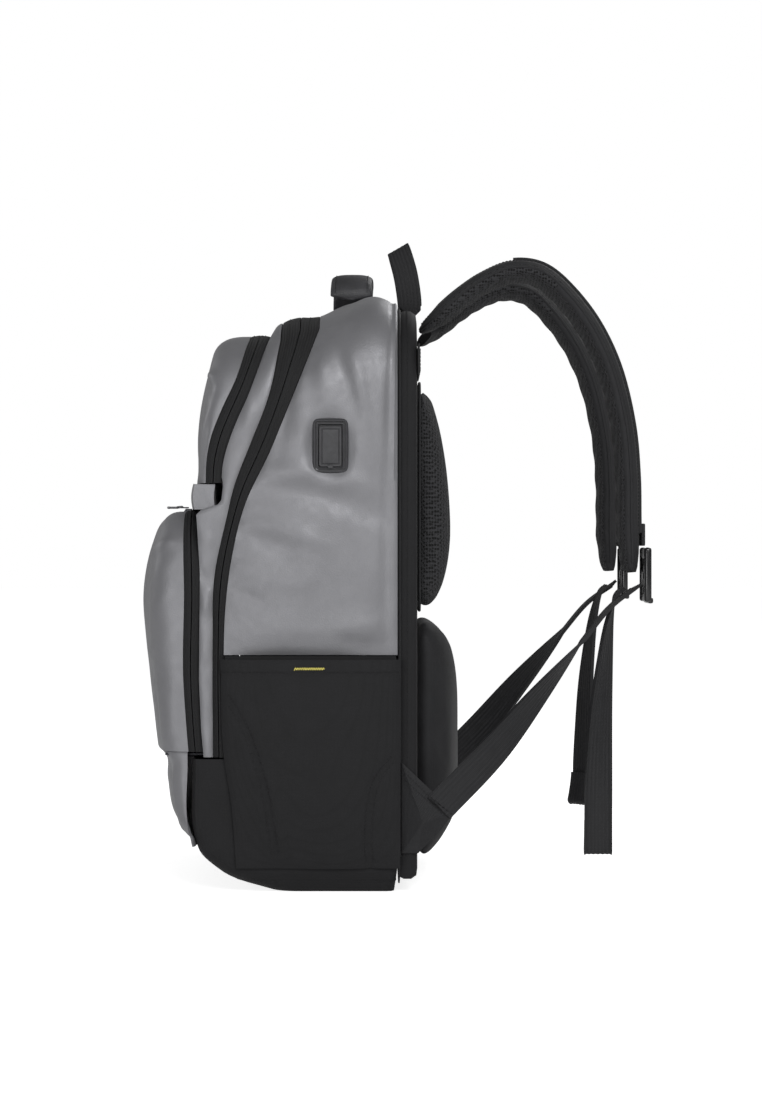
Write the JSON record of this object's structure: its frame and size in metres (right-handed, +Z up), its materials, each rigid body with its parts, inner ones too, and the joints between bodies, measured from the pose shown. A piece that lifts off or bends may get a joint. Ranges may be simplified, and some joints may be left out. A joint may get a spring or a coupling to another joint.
{
  "type": "backpack",
  "caption": "Clamshell charging backpack with two zipped front pockets, bottle pockets, padded straps, carry handle and a charging port.",
  "frame": {"origin": "on the flat underside of the base, on the bag's middle plane", "axes": "+Z up; the bag's front faces -Y and its back panel and shoulder straps are at +Y; the width runs along X, with the wearer's right at +X"},
  "size_m": [0.3236, 0.4192, 0.5387],
  "materials": {
    "coated_grey": "satin coated weave with a metallic sheen",
    "black_nylon": "matte woven nylon",
    "zip_tape": "matte ribbed zip tape",
    "lining": "matte lining",
    "air_mesh": "open honeycomb air mesh",
    "strap_fabric": "matte smooth fabric over foam",
    "webbing": "ribbed webbing",
    "handle_leather": "satin synthetic leather",
    "port_rubber": "matte moulded rubber",
    "buckle_plastic": "gloss",
    "zip_metal": "dark polished",
    "yellow_thread": "thread",
    "bright_metal": "plated"
  },
  "bodies": {
    "bag": {"main_gusset": "coated_grey", "rear_zip_tape": "zip_tape", "base_tub": "black_nylon", "lower_front_panel": "coated_grey", "lower_side_left": "black_nylon", "lower_side_right": "black_nylon", "side_pocket_left": "black_nylon", "side_pocket_right": "black_nylon", "bar_tack_left": "yellow_thread", "bar_tack_right": "yellow_thread", "back_panel": "black_nylon", "back_pad_left": "air_mesh", "back_pad_right": "air_mesh", "lumbar_pad": "strap_fabric", "anchor_patch_left": "webbing", "anchor_patch_right": "webbing", "strap_wing_left": "webbing", "strap_wing_right": "webbing", "webbing_left": "webbing", "webbing_right": "webbing", "laptop_divider": "lining", "power_bank_pouch": "lining", "usb_rim": "port_rubber", "usb_socket": "bright_metal"},
    "front_panel": {"front_gusset": "coated_grey", "front_zip_tape": "zip_tape", "organizer_wall": "lining", "pocket_floor": "lining", "mid_panel": "coated_grey", "upper_zip_tape_inner": "zip_tape", "lower_zip_tape_inner": "zip_tape"},
    "upper_cover": {"upper_pocket_cover": "coated_grey", "upper_zip_tape_outer": "zip_tape"},
    "lower_cover": {"lower_pocket_cover": "coated_grey", "lower_zip_tape_outer": "zip_tape"},
    "main_left_slider": {"main_left_slider": "zip_metal"},
    "main_left_puller": {"main_left_puller": "zip_metal"},
    "main_right_slider": {"main_right_slider": "zip_metal"},
    "main_right_puller": {"main_right_puller": "zip_metal"},
    "upper_slider": {"upper_slider": "zip_metal"},
    "upper_puller": {"upper_puller": "zip_metal"},
    "lower_slider": {"lower_slider": "zip_metal"},
    "lower_puller": {"lower_puller": "zip_metal"},
    "carry_handle": {"carry_handle": "handle_leather"},
    "hang_loop": {"hang_loop": "webbing"},
    "usb_cover": {"usb_cover": "port_rubber"},
    "strap_left": {"strap_pad_left": "strap_fabric", "strap_tab_left": "webbing"},
    "strap_right": {"strap_pad_right": "strap_fabric", "strap_tab_right": "webbing"},
    "buckle_left": {"buckle_left": "buckle_plastic"},
    "buckle_right": {"buckle_right": "buckle_plastic"},
    "tail_left": {"tail_left": "webbing"},
    "tail_right": {"tail_right": "webbing"}
  },
  "joints": [
    {"name": "front_panel_fold", "type": "hinge", "parent": "bag", "child": "front_panel", "pos_m": [0, -0.1275, 0.1083], "axis": [1, 0, 0], "range_deg": [0, 80]},
    {"name": "upper_cover_fold", "type": "hinge", "parent": "front_panel", "child": "upper_cover", "pos_m": [0, -0.0975, 0.326], "axis": [1, 0, 0], "range_deg": [0, 75]},
    {"name": "lower_cover_fold", "type": "hinge", "parent": "front_panel", "child": "lower_cover", "pos_m": [0, -0.1285, 0.112], "axis": [1, 0, 0], "range_deg": [0, 60]},
    {"name": "handle_fold", "type": "hinge", "parent": "bag", "child": "carry_handle", "pos_m": [0, 0.036, 0.483], "axis": [1, 0, 0], "range_deg": [-22, 25]},
    {"name": "hang_loop_fold", "type": "hinge", "parent": "bag", "child": "hang_loop", "pos_m": [0, 0.0855, 0.476], "axis": [1, 0, 0], "range_deg": [-20, 20]},
    {"name": "usb_cover_hinge", "type": "hinge", "parent": "bag", "child": "usb_cover", "pos_m": [0.153, 0.0204, 0.3732], "axis": [0, -1, 0], "range_deg": [0, 110]},
    {"name": "main_left_zip", "type": "slide", "parent": "front_panel", "child": "main_left_slider", "axis": [1, 0, 0], "range_m": [-0.06, 0]},
    {"name": "main_left_puller_swing", "type": "hinge", "parent": "main_left_slider", "child": "main_left_puller", "pos_m": [-0.007, 0.00027, 0.47214], "axis": [-1, 0, 0], "range_deg": [0, 160]},
    {"name": "main_right_zip", "type": "slide", "parent": "front_panel", "child": "main_right_slider", "axis": [1, 0, 0], "range_m": [0, 0.06]},
    {"name": "main_right_puller_swing", "type": "hinge", "parent": "main_right_slider", "child": "main_right_puller", "pos_m": [0.007, 0.00027, 0.47214], "axis": [-1, 0, 0], "range_deg": [0, 160]},
    {"name": "upper_zip", "type": "slide", "parent": "upper_cover", "child": "upper_slider", "axis": [1, 0, 0], "range_m": [-0.07, 0.07]},
    {"name": "upper_puller_swing", "type": "hinge", "parent": "upper_slider", "child": "upper_puller", "pos_m": [0, -0.04044, 0.45568], "axis": [-1, 0, 0], "range_deg": [0, 160]},
    {"name": "lower_zip", "type": "slide", "parent": "lower_cover", "child": "lower_slider", "axis": [1, 0, 0], "range_m": [-0.08, 0.08]},
    {"name": "lower_puller_swing", "type": "hinge", "parent": "lower_slider", "child": "lower_puller", "pos_m": [0, -0.1045, 0.3108], "axis": [-1, 0, 0], "range_deg": [0, 85]},
    {"name": "strap_swing_left", "type": "hinge", "parent": "bag", "child": "strap_left", "pos_m": [-0.05, 0.089, 0.452], "axis": [1, 0, 0], "range_deg": [-10, 20], "deforming": ["webbing_left"]},
    {"name": "buckle_tilt_left", "type": "hinge", "parent": "strap_left", "child": "buckle_left", "pos_m": [-0.095, 0.278, 0.2745], "axis": [1, 0, 0], "range_deg": [-5, 30]},
    {"name": "tail_swing_left", "type": "hinge", "parent": "strap_left", "child": "tail_left", "pos_m": [-0.0755, 0.248, 0.233], "axis": [1, 0, 0], "range_deg": [-10, 15]},
    {"name": "strap_swing_right", "type": "hinge", "parent": "bag", "child": "strap_right", "pos_m": [0.05, 0.089, 0.452], "axis": [1, 0, 0], "range_deg": [-10, 20], "deforming": ["webbing_right"]},
    {"name": "buckle_tilt_right", "type": "hinge", "parent": "strap_right", "child": "buckle_right", "pos_m": [0.095, 0.278, 0.2745], "axis": [1, 0, 0], "range_deg": [-5, 30]},
    {"name": "tail_swing_right", "type": "hinge", "parent": "strap_right", "child": "tail_right", "pos_m": [0.0755, 0.248, 0.233], "axis": [1, 0, 0], "range_deg": [-10, 15]}
  ]
}
